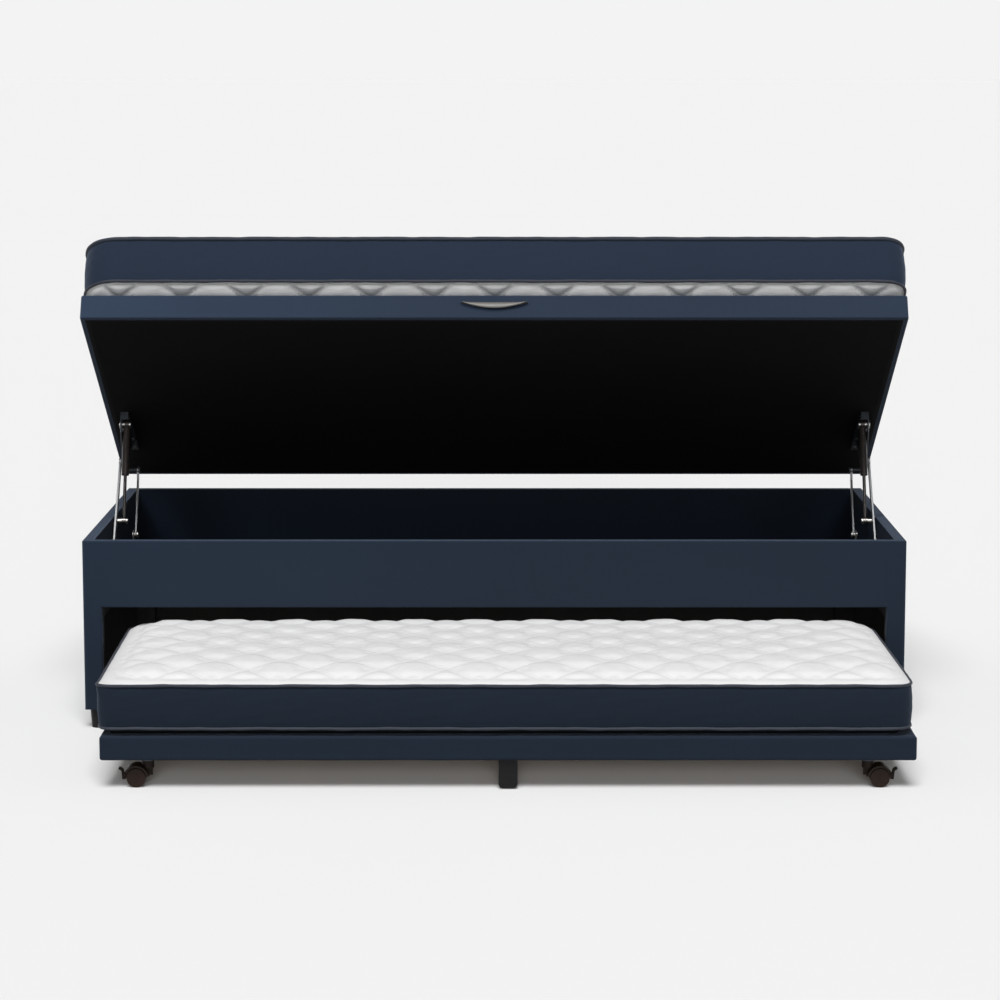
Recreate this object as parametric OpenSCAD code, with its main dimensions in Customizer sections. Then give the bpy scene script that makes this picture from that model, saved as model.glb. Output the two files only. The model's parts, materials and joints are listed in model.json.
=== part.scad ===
// Upholstered single bed: a storage box with a lift-up lid and mattress,
// over a low trundle bed on casters. Modelled with the lid open and the
// trundle drawn out, which is its rest pose. +X runs along the bed, the
// front is towards -Y, and the floor is Z = 0. Millimetres.

/* [Box] */
// Length of the box and the lid
box_l = 1880; // [1860:10:1960]
// Depth of the box and the lid
box_w = 880; // [870:5:900]
// Height of the box rim above the floor
box_top = 437; // [432:1:446]
// Clearance under the box panels
box_bottom = 45.5; // [40:0.5:48]
// Height of the top of the trundle bay's opening
bay_top = 283; // [280:1:288]
// Thickness of a box wall with its fabric
wall = 25; // [24:0.5:28]
// Width of the two front posts
post_w = 42.5; // [40:0.5:44]
// Thickness of the upholstery fabric
cloth = 2.5; // [2:0.5:3]

/* [Lid] */
// Thickness of the lid
lid_t = 58; // [54:1:64]
// Angle of the open lid
lid_angle = 31.4; // [30:0.1:32]
// Depth position of the open lid's rear bottom edge, from the box front
lid_y = 787; // [785:1:790]
// Height of the open lid's rear bottom edge
lid_z = 484.3; // [483:0.1:486]
// Gap between the closed lid and the rim
lid_gap = 2; // [1.5:0.5:3]

/* [Mattresses] */
// Thickness of the upper mattress with its quilting
top_mattress_t = 167; // [140:1:172]
// Length of the upper mattress
top_mattress_l = 1880; // [1840:5:1880]
// Depth of the upper mattress
top_mattress_w = 870; // [850:5:870]
// Thickness of the trundle mattress with its quilting
low_mattress_t = 137; // [120:1:138]

/* [Trundle] */
// Length of the trundle base
trundle_l = 1716; // [1690:2:1716]
// Depth of the trundle base
trundle_w = 680; // [640:10:700]
// How far the trundle's front stands out from the box front
trundle_out = 600; // [520:10:620]
// Sideways offset of the trundle in its bay
trundle_x = 30; // [20:1:30]
// Height of the underside of the trundle base
trundle_z = 64; // [64:1:66]
// Height of the trundle base's side
trundle_h = 52; // [48:1:54]

/* [Casters] */
// Diameter of a caster wheel
wheel_d = 40; // [38:1:41]
// Width of each twin wheel
wheel_w = 16; // [14:1:17]
// Offset of the wheel's axle from the swivel axis
trail = 24; // [22:1:25]

/* [Lift] */
// Thickness of the outer lift arm
arm_t = 4; // [3:0.5:4]
// Diameter of a gas spring's cylinder
gas_d = 18; // [16:1:18]
// Diameter of a gas spring's rod
rod_d = 8; // [6:1:8]
// Radial play in the running joints
play = 0.05; // [0.02:0.01:0.08]

/* [Hidden] */
$fn = 48;

navy = "#1f2d44";
black = "#17181b";
steel = "#b9bcc0";
pine = "#c8a876";
white = "#f1f1ef";
brown = "#2e2421";

// The row's Y origin is the middle of the whole object at rest.
y_mid = 150;
hl = box_l / 2;
inner = hl - wall;            // inner face of an end wall
floor_z = bay_top;            // underside of the storage floor
floor_t = 10;

// ---- Lift linkage, side view, points as [y, z] ----
function open_pt(u, w) = [lid_y - u * cos(lid_angle) - w * sin(lid_angle),
                          lid_z + u * sin(lid_angle) - w * cos(lid_angle)];
function shut_pt(u, w) = [box_w - u, box_top + lid_gap - w];
// A fixed pivot lies on the perpendicular bisector of the two end positions.
function fixed_pt(u, w, t) = let(a = open_pt(u, w), b = shut_pt(u, w), d = b - a,
    n = [d[1], -d[0]] / norm(d)) (a + b) / 2 + t * (n[0] > 0 ? -n : n);
// Pivot places on the lid bracket: [distance from the rear edge, depth below the lid]
outer_top = [302, 100];
inner_top = [201, 76];
spring_top = [356, 24];
pA = fixed_pt(outer_top[0], outer_top[1], 256);
pB = open_pt(outer_top[0], outer_top[1]);
pC = open_pt(inner_top[0], inner_top[1]);
pD = fixed_pt(inner_top[0], inner_top[1], 133);
pE = [380, 426.5];
pF = open_pt(spring_top[0], spring_top[1]);
// Layers inboard of the end wall: [near face, far face]
arm_layer = [5, 5 + arm_t];
web_layer = [10.5, 13.5];
gas_mid = 24.5;
link_layer = [35, 39];

function angle_of(a, b) = atan2(b[1] - a[1], b[0] - a[0]);
function sum2(a, b) = [a[0] + b[0], a[1] + b[1]];

module row() { translate([0, -y_mid, 0]) children(); }
// Lid frame: Y = 0 at the rear bottom edge, -box_w at the front, Z = 0 underside.
module on_lid() { translate([0, lid_y, lid_z]) rotate([-lid_angle, 0, 0]) children(); }
module box(x0, x1, y0, y1, z0, z1) { translate([x0, y0, z0]) cube([x1 - x0, y1 - y0, z1 - z0]); }
// Extrude a side-view shape over a layer inboard of the left (-1) or right (1) wall.
module layer(side, t0, t1) {
  translate([side < 0 ? -inner + t0 : inner - t1, 0, 0]) rotate([90, 0, 90])
    linear_extrude(t1 - t0) children();
}
module strip2(a, b, w) { translate(a) rotate(angle_of(a, b)) translate([0, -w / 2]) square([norm(b - a), w]); }
module bar2(a, b, w) { translate(a) circle(d = w); translate(b) circle(d = w); strip2(a, b, w * 0.96); }
module dot2(p, d) { translate(p) circle(d = d); }
// A rectangle with rounded corners in plan.
module slab2(l, w, r) {
  square([l - 2 * r, w], center = true); square([l, w - 2 * r], center = true);
  for (i = [-1, 1], j = [-1, 1]) translate([i * (l / 2 - r), j * (w / 2 - r)]) circle(r);
}

// ---- Box ----
module front_panel_() { box(-hl + cloth, hl - cloth, cloth, wall - cloth, bay_top + cloth, box_top - cloth); }
module posts_() {
  for (s = [-1, 1]) scale([s, 1, 1]) {
    box(hl - post_w + cloth, hl - cloth, cloth, 44, box_bottom, bay_top);
    box(hl - post_w + cloth, hl - cloth, cloth, wall - cloth, bay_top - 1, bay_top + cloth);
  }
}
module sides_() {
  for (s = [-1, 1]) scale([s, 1, 1]) difference() {
    box(inner + cloth, hl - cloth, wall - cloth, box_w - wall + cloth, box_bottom, box_top - cloth);
    box(inner, hl, 0, 44, 0, bay_top);
  }
}
module back_() { box(-hl + cloth, hl - cloth, box_w - wall + cloth, box_w - cloth, box_bottom, box_top - cloth); }
module front_panel() { color(pine) row() front_panel_(); }
module front_posts() { color(pine) row() posts_(); }
module side_panels() { color(pine) row() sides_(); }
module back_panel() { color(pine) row() back_(); }
module storage_floor() { color(pine) row() box(-inner, inner, wall, box_w - wall, floor_z, floor_z + floor_t); }
module floor_lining() { color(navy) row() box(-inner, inner, wall, box_w - wall, floor_z + floor_t, floor_z + floor_t + 1.5); }
module floor_battens() {
  color(pine) row() for (x = [-560, 0, 560]) box(x - 30, x + 30, wall + 93, box_w - wall - 18, floor_z - 15, floor_z);
}
module floor_cleats() {
  color(pine) row() {
    for (s = [-1, 1]) scale([s, 1, 1]) box(inner - 17, inner, 46, box_w - wall, floor_z - 30, floor_z);
    box(-inner + 18, inner - 18, box_w - wall - 18, box_w - wall, floor_z - 30, floor_z);
    box(-inner + 18, inner - 18, wall + 73, wall + 92, floor_z - 12, floor_z);
  }
}
module rear_corner_blocks() {
  color(pine) row() for (s = [-1, 1]) scale([s, 1, 1])
    box(inner - 45, inner, box_w - wall - 42, box_w - wall, box_bottom, floor_z - 30);
}
module box_fabric_cover() {
  color(navy) row() difference() {
    union() {
      difference() {
        box(-hl, hl, 0, box_w, box_bottom, box_top);
        box(-inner, inner, wall, box_w - wall, 0, box_top + 1);
        box(-hl + post_w, hl - post_w, -1, wall + 1, 0, bay_top);
      }
      for (s = [-1, 1]) scale([s, 1, 1]) box(hl - post_w, inner + 0.5, wall - 0.5, 46, box_bottom, bay_top);
    }
    front_panel_(); back_(); sides_(); posts_();
    // the fabric is turned in under the panels and stapled, so the timber shows below
    translate([0, 0, -1]) { posts_(); sides_(); back_(); }
  }
}
foot_y = [28, box_w - 30];
module corner_feet() {
  color(black) row() for (s = [-1, 1], y = foot_y) translate([s * (hl - 29.5), y, 0]) {
    cylinder(h = 41, r1 = 17, r2 = 20);
    translate([0, 0, 41]) cylinder(h = box_bottom - 41, r = 20);
  }
}

// ---- Lift hardware on the box ----
bb_low = floor_z + floor_t + 1.5;   // the bracket stands on the floor lining
bb_y0 = pA[0] - 24;
bb_y1 = pD[0] + 14;
bb_screws = [[bb_y0 + 12, bb_low + 14], [(bb_y0 + bb_y1) / 2 + 20, bb_low + 16], [bb_y1 - 12, bb_low + 16], [(bb_y0 + bb_y1) / 2 - 20, bb_low + 42]];
module base_bracket(side) {
  // plate against the wall
  layer(side, 0, 3) difference() {
    union() {
      translate([bb_y0, bb_low]) square([bb_y1 - bb_y0, 26]);
      dot2(pA, 40);
      polygon([[pA[0] - 20, pA[1]], [bb_y0, bb_low + 20], [bb_y1, bb_low + 20], [bb_y1, bb_low + 40],
               [pD[0] - 20, bb_low + 46], [pA[0] + 60, pA[1] + 14], [pA[0] + 10, pA[1] + 19]]);
    }
    dot2(pA, 10);
    for (p = bb_screws) dot2(p, 5);
    bar2([pA[0] + 52, bb_low + 18], [pA[0] + 78, bb_low + 18], 14);
  }
  // foot turned in along the floor
  layer(side, 2.9, 14) translate([bb_y0, bb_low]) square([bb_y1 - bb_y0, 3]);
  layer(side, 13.9, 33) translate([pD[0] - 20, bb_low]) square([34, 3]);
  // ear for the inner arm
  layer(side, 30, 33) difference() {
    union() {
      dot2(pD, 24);
      polygon([[pD[0] - 20, bb_low + 2.9], [pD[0] + 14, bb_low + 2.9], [pD[0] + 12, pD[1]], [pD[0] - 12, pD[1]]]);
    }
    dot2(pD, 10);
  }
}
module base_bracket_left() { color(steel) row() base_bracket(-1); }
module base_bracket_right() { color(steel) row() base_bracket(1); }
module base_bracket_screws() {
  color(steel) row() for (s = [-1, 1], p = bb_screws) {
    layer(s, -14, 3) dot2(p, 5);
    layer(s, 3, 4.4) dot2(p, 9);
  }
}
module base_pivot_pins() {
  color(steel) row() for (s = [-1, 1]) {
    layer(s, 0, 10) dot2(pA, 10);
    layer(s, 3, arm_layer[0] - 0.3) dot2(pA, 18);
    layer(s, arm_layer[1] + 0.3, 10.3) dot2(pA, 17);
    layer(s, 30, link_layer[1] + 1) dot2(pD, 10);
    layer(s, 28, 30) dot2(pD, 16);
    layer(s, 33, link_layer[0] - 0.3) dot2(pD, 15);
    layer(s, link_layer[1] + 0.3, link_layer[1] + 3.3) dot2(pD, 17);
  }
}

// ---- Lid ----
module lid_long_rails() {
  color(pine) row() on_lid() for (y = [-box_w + cloth, -cloth - 40]) box(-hl + cloth, hl - cloth, y, y + 40, cloth, lid_t - 5 - cloth);
}
module lid_end_rails() {
  color(pine) row() on_lid() for (s = [-1, 1]) scale([s, 1, 1])
    box(hl - cloth - 60, hl - cloth, -box_w + cloth + 40, -cloth - 40, cloth, lid_t - 5 - cloth);
}
module lid_battens() {
  color(pine) row() on_lid() for (x = [-465, 0, 465]) box(x - 30, x + 30, -box_w + cloth + 40, -cloth - 40, lid_t - 25 - cloth, lid_t - 5 - cloth);
}
module lid_top_board() { color(pine) row() on_lid() box(-hl + cloth, hl - cloth, -box_w + cloth, -cloth, lid_t - 5 - cloth, lid_t - cloth); }
module lid_fabric_cover() {
  color(navy) row() on_lid() difference() {
    box(-hl, hl, -box_w, 0, 0, lid_t);
    box(-hl + cloth, hl - cloth, -box_w + cloth, -cloth, cloth, lid_t - cloth);
    box(-hl + 27, hl - 27, -box_w + 27, -27, -1, cloth + 0.5);
  }
}
module lid_underside_cover() { color(black) row() on_lid() box(-hl + 27, hl - 27, -box_w + 27, -27, 0, cloth); }
// A shallow crescent: flat top edge, curved bottom edge, 152 across.
module crescent2(chord, sag) {
  r = (chord * chord / 4 + sag * sag) / (2 * sag);
  intersection() { translate([0, r - sag]) circle(r, $fn = 120); translate([-chord / 2, -sag]) square([chord, sag]); }
}
module pull_handle() {
  color("#b3a792") row() on_lid() translate([0, -box_w, 38]) rotate([90, 0, 0]) difference() {
    union() { linear_extrude(7) crescent2(152, 17); translate([0, 0, 6.9]) linear_extrude(4) crescent2(146, 15.5); }
    // finger rebate under the grip
    translate([0, 0, -0.1]) linear_extrude(6) difference() { translate([-60, -30]) square([120, 24]); crescent2(152, 9); }
  }
}
module handle_screws() {
  color(steel) row() on_lid() for (x = [-48, 48]) translate([x, -box_w, 33]) rotate([-90, 0, 0]) cylinder(h = 22, d = 4);
}
module top_mattress() {
  color(navy) row() on_lid() translate([0, -box_w / 2, lid_t])
    linear_extrude(top_mattress_t) slab2(top_mattress_l, top_mattress_w, 48);
}
lb_front = -spring_top[0] - 20;
lb_screws = [-340, -292, -222, -182];
module lid_bracket(side) {
  on_lid() {
    // web beside the outer arm, drawn in the lid's own side view
    layer(side, web_layer[0], web_layer[1]) difference() {
      union() {
        polygon([[lb_front, 0], [lb_front, -28], [lb_front + 10, -50], [-outer_top[0] - 13, -outer_top[1] + 2],
                 [-outer_top[0] + 13, -outer_top[1] + 2], [-inner_top[0] - 12, -inner_top[1] - 4],
                 [-inner_top[0] + 12.6, -inner_top[1] + 3], [-inner_top[0] + 30, -14], [-160, 0]]);
        dot2(-outer_top, 28); dot2(-inner_top, 28);
      }
      dot2(-outer_top, 10);
      // slots at the two open pivots
      bar2(-spring_top, -spring_top + [5.4, -11.6], 11.6);
      bar2(-inner_top, -inner_top + [-3.9, 4.6], 9.4);
      // lightening hole
      dot2([-inner_top[0] - 52, -42], 34);
    }
    // flange screwed to the underside of the lid
    difference() {
      union() {
        layer(side, web_layer[1] - 0.1, 31) translate([-350, -3]) square([190, 3]);
        translate([side * (inner - 20.7), -350, -3]) cylinder(h = 3, r = 10.3);
        layer(side, web_layer[1] - 0.1, 24) translate([lb_front, -3]) square([30, 3]);
      }
      for (y = lb_screws) translate([side * (inner - 23), y, -4]) cylinder(h = 5, d = 5);
    }
    // folded front end
    layer(side, web_layer[1] - 0.1, 29) translate([lb_front, -20]) square([3, 20]);
  }
}
module lid_bracket_left() { color(steel) row() lid_bracket(-1); }
module lid_bracket_right() { color(steel) row() lid_bracket(1); }
module lid_bracket_screws() {
  color(steel) row() on_lid() for (s = [-1, 1], y = lb_screws)
    translate([s * (inner - 23), y, -5]) { cylinder(h = 2, d = 10); cylinder(h = 20, d = 5); }
}
module lid_pivot_pins() {
  color(steel) row() on_lid() for (s = [-1, 1]) {
    layer(s, 4, web_layer[1]) dot2(-outer_top, 10);
    layer(s, 3.4, arm_layer[0] - 0.3) dot2(-outer_top, 17);
    layer(s, arm_layer[1] + 0.3, web_layer[0]) dot2(-outer_top, 15);
    layer(s, web_layer[1], web_layer[1] + 2) dot2(-outer_top, 15);
  }
}

// ---- Moving links ----
arm_u = (pB - pA) / norm(pB - pA);
arm_n = [arm_u[1], -arm_u[0]];
function on_arm(a, b) = pA + a * arm_u + b * arm_n;
module outer_arm(side) {
  layer(side, arm_layer[0], arm_layer[1]) difference() {
    union() {
      dot2(pA, 24); dot2(pB, 24);
      // the strip, swollen where it carries the gas spring's lower pin
      polygon([on_arm(-2, 11), on_arm(93, 11), on_arm(110, 17.4), on_arm(115, 19), on_arm(126, 19), on_arm(131, 17.4),
               on_arm(148, 11), on_arm(norm(pB - pA) + 2, 11), on_arm(norm(pB - pA) + 2, -11), on_arm(-2, -11)]);
    }
    dot2(pA, 10 + 2 * play); dot2(pB, 10 + 2 * play); dot2(pE, 8);
  }
}
module outer_arm_left() { color(steel) row() outer_arm(-1); }
module outer_arm_right() { color(steel) row() outer_arm(1); }
module spring_lower_pins() {
  color(steel) row() for (s = [-1, 1]) {
    layer(s, arm_layer[0], gas_mid + 8) dot2(pE, 8);
    layer(s, arm_layer[1], gas_mid - 5.3) dot2(pE, 14);
    layer(s, gas_mid + 5.3, gas_mid + 9.5) dot2(pE, 14);
  }
}
knee = pD + 0.86 * (pC - pD) + [7, -3];
module inner_arm(side) {
  layer(side, link_layer[0], link_layer[1]) difference() {
    // straight up from the base, with its top end set forward
    union() { dot2(pD, 19); dot2(knee, 18); dot2(pC, 19); strip2(pD, knee, 17); strip2(knee, pC, 16.4); }
    dot2(pD, 10 + 2 * play); dot2(pC, 7);
  }
}
module inner_arm_left() { color(steel) row() inner_arm(-1); }
module inner_arm_right() { color(steel) row() inner_arm(1); }
module inner_arm_pins() {
  color(steel) row() for (s = [-1, 1]) {
    layer(s, web_layer[0] - 3.4, link_layer[1] + 1) dot2(pC, 7);
    layer(s, web_layer[0] - 3.4, web_layer[0] - 0.4) dot2(pC, 20);
    layer(s, web_layer[1] + 0.4, link_layer[0]) dot2(pC, 11);
    layer(s, link_layer[1], link_layer[1] + 2.6) dot2(pC, 13);
  }
}
gas_dir = (pF - pE) / norm(pF - pE);
gas_len = norm(pF - pE);
// Its length with the lid shut, when the arm has turned its lower pin down.
arm_turn = angle_of(pA, shut_pt(outer_top[0], outer_top[1])) - angle_of(pA, pB);
function turned(p, c, a) = let(d = p - c) c + [d[0] * cos(a) - d[1] * sin(a), d[0] * sin(a) + d[1] * cos(a)];
shut_len = norm(shut_pt(spring_top[0], spring_top[1]) - turned(pE, pA, arm_turn));
cyl_len = shut_len - 10;
// Frame whose Z runs from the lower eye to the upper eye, in the spring's own plane.
module along_spring(side, from) {
  translate([side * (inner - gas_mid), pE[0] + from * gas_dir[0], pE[1] + from * gas_dir[1]])
    rotate([angle_of(pE, pF) - 90, 0, 0]) children();
}
module gas_rod(side) {
  difference() {
    union() {
      layer(side, gas_mid - 5, gas_mid + 5) dot2(pE, 17);
      along_spring(side, 5) cylinder(h = 4.5, d = 10);
      along_spring(side, 8) cylinder(h = shut_len - 20.6, d = rod_d);
    }
    layer(side, gas_mid - 6, gas_mid + 6) dot2(pE, 8 + 2 * play);
  }
}
module gas_rod_left() { color(steel) row() gas_rod(-1); }
module gas_rod_right() { color(steel) row() gas_rod(1); }
module gas_cylinder(side) {
  difference() {
    union() {
      layer(side, gas_mid - 5, gas_mid + 5) dot2(pF, 17);
      along_spring(side, gas_len - 12) cylinder(h = 5, d = 12);
      along_spring(side, gas_len - cyl_len) cylinder(h = cyl_len - 10, d = gas_d);
    }
    layer(side, gas_mid - 6, gas_mid + 6) dot2(pF, 7);
    // bore for the rod
    along_spring(side, gas_len - cyl_len - 1) cylinder(h = cyl_len - 11, d = rod_d + 2 * play);
  }
}
module gas_cylinder_left() { color(black) row() gas_cylinder(-1); }
module gas_cylinder_right() { color(black) row() gas_cylinder(1); }
module spring_upper_pins() {
  color(steel) row() for (s = [-1, 1]) {
    layer(s, web_layer[0] - 3.4, gas_mid + 8) dot2(pF, 7);
    layer(s, web_layer[0] - 3.4, web_layer[0] - 0.4) dot2(pF, 20);
    layer(s, web_layer[1] + 0.4, gas_mid - 5) dot2(pF, 14);
    layer(s, gas_mid + 5, gas_mid + 9.5) dot2(pF, 13);
  }
}

// ---- Trundle ----
module at_trundle() { translate([trundle_x, -trundle_out + trundle_w / 2, 0]) children(); }
tl = trundle_l / 2;
tw = trundle_w / 2;
t_top = trundle_z + trundle_h;
module trundle_long_rails() {
  color(pine) row() at_trundle() for (s = [-1, 1]) scale([1, s, 1]) box(-tl + cloth, tl - cloth, tw - cloth - 40, tw - cloth, trundle_z + cloth, t_top - 5 - cloth);
}
module trundle_end_rails() {
  color(pine) row() at_trundle() for (s = [-1, 1]) scale([s, 1, 1]) box(tl - cloth - 40, tl - cloth, -tw + cloth + 40, tw - cloth - 40, trundle_z + cloth, t_top - 5 - cloth);
}
module trundle_battens() {
  color(pine) row() at_trundle() for (x = [-430, 0, 430]) box(x - 45, x + 45, -tw + cloth + 40, tw - cloth - 40, trundle_z + cloth, t_top - 5 - cloth);
}
module trundle_corner_blocks() {
  color(pine) row() at_trundle() for (s = [-1, 1], j = [-1, 1]) scale([s, j, 1])
    box(tl - cloth - 140, tl - cloth - 40, tw - cloth - 100, tw - cloth - 40, trundle_z + cloth, t_top - 5 - cloth);
}
module trundle_deck() { color(pine) row() at_trundle() box(-tl + cloth, tl - cloth, -tw + cloth, tw - cloth, t_top - 5 - cloth, t_top - cloth); }
module trundle_fabric_cover() {
  color(navy) row() at_trundle() difference() {
    box(-tl, tl, -tw, tw, trundle_z, t_top);
    box(-tl + cloth, tl - cloth, -tw + cloth, tw - cloth, trundle_z + cloth, t_top - cloth);
    box(-tl + 30, tl - 30, -tw + 30, tw - 30, trundle_z - 1, trundle_z + cloth + 0.5);
  }
}
module trundle_mattress() {
  color(white) row() at_trundle() translate([0, 0, t_top]) linear_extrude(low_mattress_t) slab2(trundle_l - 4, trundle_w - 4, 30);
}
module mid_foot2() {
  difference() { translate([-20, 2]) square([40, trundle_z - 2]); for (s = [-1, 1]) scale([s, 1]) translate([10, 2]) square(11); }
  for (s = [-1, 1]) translate([s * 10, 12]) circle(10);
  translate([-10, 2]) square([20, 12]);
}
module trundle_mid_feet() {
  color(black) row() at_trundle() for (y = [-tw + 12, tw - 46])
    translate([0, y + 34, 0]) rotate([90, 0, 0]) linear_extrude(34) mid_foot2();
}

// ---- Casters ----
stem = [tl - 97, tw - 46];
stem_top = trundle_z;
module at_caster(sx, sy) { at_trundle() translate([sx * stem[0], sy * stem[1], 0]) scale([sx, 1, 1]) children(); }
wr = wheel_d / 2;
module caster_plates() {
  color(black) row() for (sx = [-1, 1], sy = [-1, 1]) at_caster(sx, sy) difference() {
    union() {
      translate([-30, -25, stem_top - 2.5]) cube([60, 50, 2.5]);
      translate([0, 0, stem_top - 7.5]) cylinder(h = 5.2, r = 17);
    }
    translate([0, 0, stem_top - 8]) cylinder(h = 9, r = 5 + play);
    for (i = [-1, 1], j = [-1, 1]) translate([i * 24, j * 19, stem_top - 4]) cylinder(h = 5, d = 4.4);
  }
}
module caster_screws() {
  color(steel) row() for (sx = [-1, 1], sy = [-1, 1]) at_caster(sx, sy)
    for (i = [-1, 1], j = [-1, 1]) translate([i * 24, j * 19, 0]) {
      translate([0, 0, stem_top - 4.3]) cylinder(h = 1.8, d = 8);
      translate([0, 0, stem_top - 2.6]) cylinder(h = 18, d = 4.4);
    }
}
lever_at = [24.6, 3.4];       // brake pivot from the axle, outboard and up
module caster_fork(brake) {
  ax = trail;
  // stem
  translate([0, 0, 40]) cylinder(h = stem_top - 41, r = 5);
  translate([0, 0, 40]) cylinder(h = stem_top - 40 - 8, r = 13);
  // centre web between the wheels
  translate([ax, 2.5, wr]) rotate([90, 0, 0]) linear_extrude(5) difference() {
    union() {
      intersection() { circle(27); translate([-30, 0]) square([60, 28]); }
      translate([-ax - 10, 4]) square([20, stem_top - 8 - wr - 6]);
      if (brake) dot2(lever_at, 8);
      circle(8);
    }
    circle(3);
  }
  // curved hood over both wheels
  translate([ax, 20, wr]) rotate([90, 0, 0]) linear_extrude(40) difference() {
    intersection() { circle(27); polygon([[-40, 8], [-40, 40], [40, 40], [40, 20], [0, 0]]); }
    circle(wr + 2);
  }
  // axle
  translate([ax, 20.5, wr]) rotate([90, 0, 0]) cylinder(h = 41, r = 3);
  if (brake) translate([ax + lever_at[0], 7.6, wr + lever_at[1]]) rotate([90, 0, 0]) cylinder(h = 15.2, r = 1.6);
}
module caster_wheels() {
  for (s = [-1, 1]) translate([trail, s * (3.2 + wheel_w / 2) + wheel_w / 2, wr]) rotate([90, 0, 0]) difference() {
    cylinder(h = wheel_w, r = wr, $fn = 64);
    translate([0, 0, -1]) cylinder(h = wheel_w + 2, r = 3 + play);
    // dished outer face
    translate([0, 0, s < 0 ? wheel_w - 1.6 : -0.4]) difference() { cylinder(h = 2, r = wr - 3); cylinder(h = 2, r = 7); }
  }
}
module brake_lever() {
  translate([trail + lever_at[0], 0, wr + lever_at[1]]) rotate([90, 0, 0]) {
    // two cheeks on the pin, joined by the tread outboard of the hood
    for (s = [-1, 1]) translate([0, 0, s < 0 ? -7.4 : 2.9]) linear_extrude(4.5) difference() {
      union() { circle(3.4); polygon([[0, -3.4], [3.4, -1], [7.5, 10], [12, 14.6], [8, 14.6], [4.5, 12], [2, 3.2]]); polygon([[-1.5, -8], [2.5, -8], [3.4, 0], [0, 0]]); }
      circle(1.6 + play);
    }
    translate([0, 0, -7.4]) linear_extrude(14.8) { polygon([[4.6, 6], [7.5, 10], [13, 13.6], [13, 16.4], [8, 15.4], [4.8, 11]]); polygon([[4.4, -8], [5.6, -8], [7.5, 10], [4.6, 10]]); }
    translate([0, 0, -7.4]) linear_extrude(14.8) polygon([[-1.5, -8], [5.6, -8], [5.6, -5.2], [-1.5, -5.2]]);
  }
}
module caster_fork_front_left() { color(brown) row() at_caster(-1, -1) caster_fork(true); }
module caster_fork_front_right() { color(brown) row() at_caster(1, -1) caster_fork(true); }
module caster_fork_rear_left() { color(brown) row() at_caster(-1, 1) caster_fork(false); }
module caster_fork_rear_right() { color(brown) row() at_caster(1, 1) caster_fork(false); }
module caster_wheels_front_left() { color(brown) row() at_caster(-1, -1) caster_wheels(); }
module caster_wheels_front_right() { color(brown) row() at_caster(1, -1) caster_wheels(); }
module caster_wheels_rear_left() { color(brown) row() at_caster(-1, 1) caster_wheels(); }
module caster_wheels_rear_right() { color(brown) row() at_caster(1, 1) caster_wheels(); }
module brake_lever_left() { color(black) row() at_caster(-1, -1) brake_lever(); }
module brake_lever_right() { color(black) row() at_caster(1, -1) brake_lever(); }

front_panel();
front_posts();
side_panels();
back_panel();
storage_floor();
floor_lining();
floor_battens();
floor_cleats();
rear_corner_blocks();
box_fabric_cover();
corner_feet();
base_bracket_left();
base_bracket_right();
base_bracket_screws();
base_pivot_pins();
lid_long_rails();
lid_end_rails();
lid_battens();
lid_top_board();
lid_fabric_cover();
lid_underside_cover();
pull_handle();
handle_screws();
top_mattress();
lid_bracket_left();
lid_bracket_right();
lid_bracket_screws();
lid_pivot_pins();
outer_arm_left();
outer_arm_right();
spring_lower_pins();
inner_arm_left();
inner_arm_right();
inner_arm_pins();
gas_rod_left();
gas_rod_right();
gas_cylinder_left();
gas_cylinder_right();
spring_upper_pins();
trundle_long_rails();
trundle_end_rails();
trundle_battens();
trundle_corner_blocks();
trundle_deck();
trundle_fabric_cover();
trundle_mattress();
trundle_mid_feet();
caster_plates();
caster_screws();
caster_fork_front_left();
caster_wheels_front_left();
caster_fork_front_right();
caster_wheels_front_right();
caster_fork_rear_left();
caster_wheels_rear_left();
caster_fork_rear_right();
caster_wheels_rear_right();
brake_lever_left();
brake_lever_right();
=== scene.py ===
import bpy, bmesh, json, math
import numpy as np
from mathutils import Matrix, Vector

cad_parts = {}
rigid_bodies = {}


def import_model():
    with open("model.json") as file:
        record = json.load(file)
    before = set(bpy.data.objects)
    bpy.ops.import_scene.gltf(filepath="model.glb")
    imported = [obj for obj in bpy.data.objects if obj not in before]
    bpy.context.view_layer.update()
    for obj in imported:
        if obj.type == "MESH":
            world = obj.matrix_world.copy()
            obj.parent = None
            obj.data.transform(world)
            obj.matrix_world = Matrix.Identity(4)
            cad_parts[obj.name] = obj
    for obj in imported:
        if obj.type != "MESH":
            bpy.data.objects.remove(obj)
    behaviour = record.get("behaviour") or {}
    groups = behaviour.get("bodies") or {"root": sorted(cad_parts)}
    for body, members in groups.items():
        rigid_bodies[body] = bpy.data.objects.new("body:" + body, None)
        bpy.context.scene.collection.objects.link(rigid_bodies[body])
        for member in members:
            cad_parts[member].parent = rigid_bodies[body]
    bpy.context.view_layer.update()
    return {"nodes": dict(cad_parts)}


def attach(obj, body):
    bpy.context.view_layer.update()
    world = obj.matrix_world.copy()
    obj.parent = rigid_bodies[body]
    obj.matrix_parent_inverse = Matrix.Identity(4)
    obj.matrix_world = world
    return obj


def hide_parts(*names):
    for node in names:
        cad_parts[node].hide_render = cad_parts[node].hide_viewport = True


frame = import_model()

# ------------------------------------------------------------------ places
Y0 = -0.150                       # box front in the row's frame
TH = math.radians(31.4)
LID = Matrix.Translation((0.0, 0.787 + Y0, 0.4843)) @ Matrix.Rotation(-TH, 4, "X")
ROW = Matrix.Translation((0.0, Y0, 0.0))
TRX, TRY = 0.030, -0.260          # trundle centre, from the box front
TRUNDLE = Matrix.Translation((TRX, TRY + Y0, 0.0))
scene = bpy.context.scene


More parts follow.
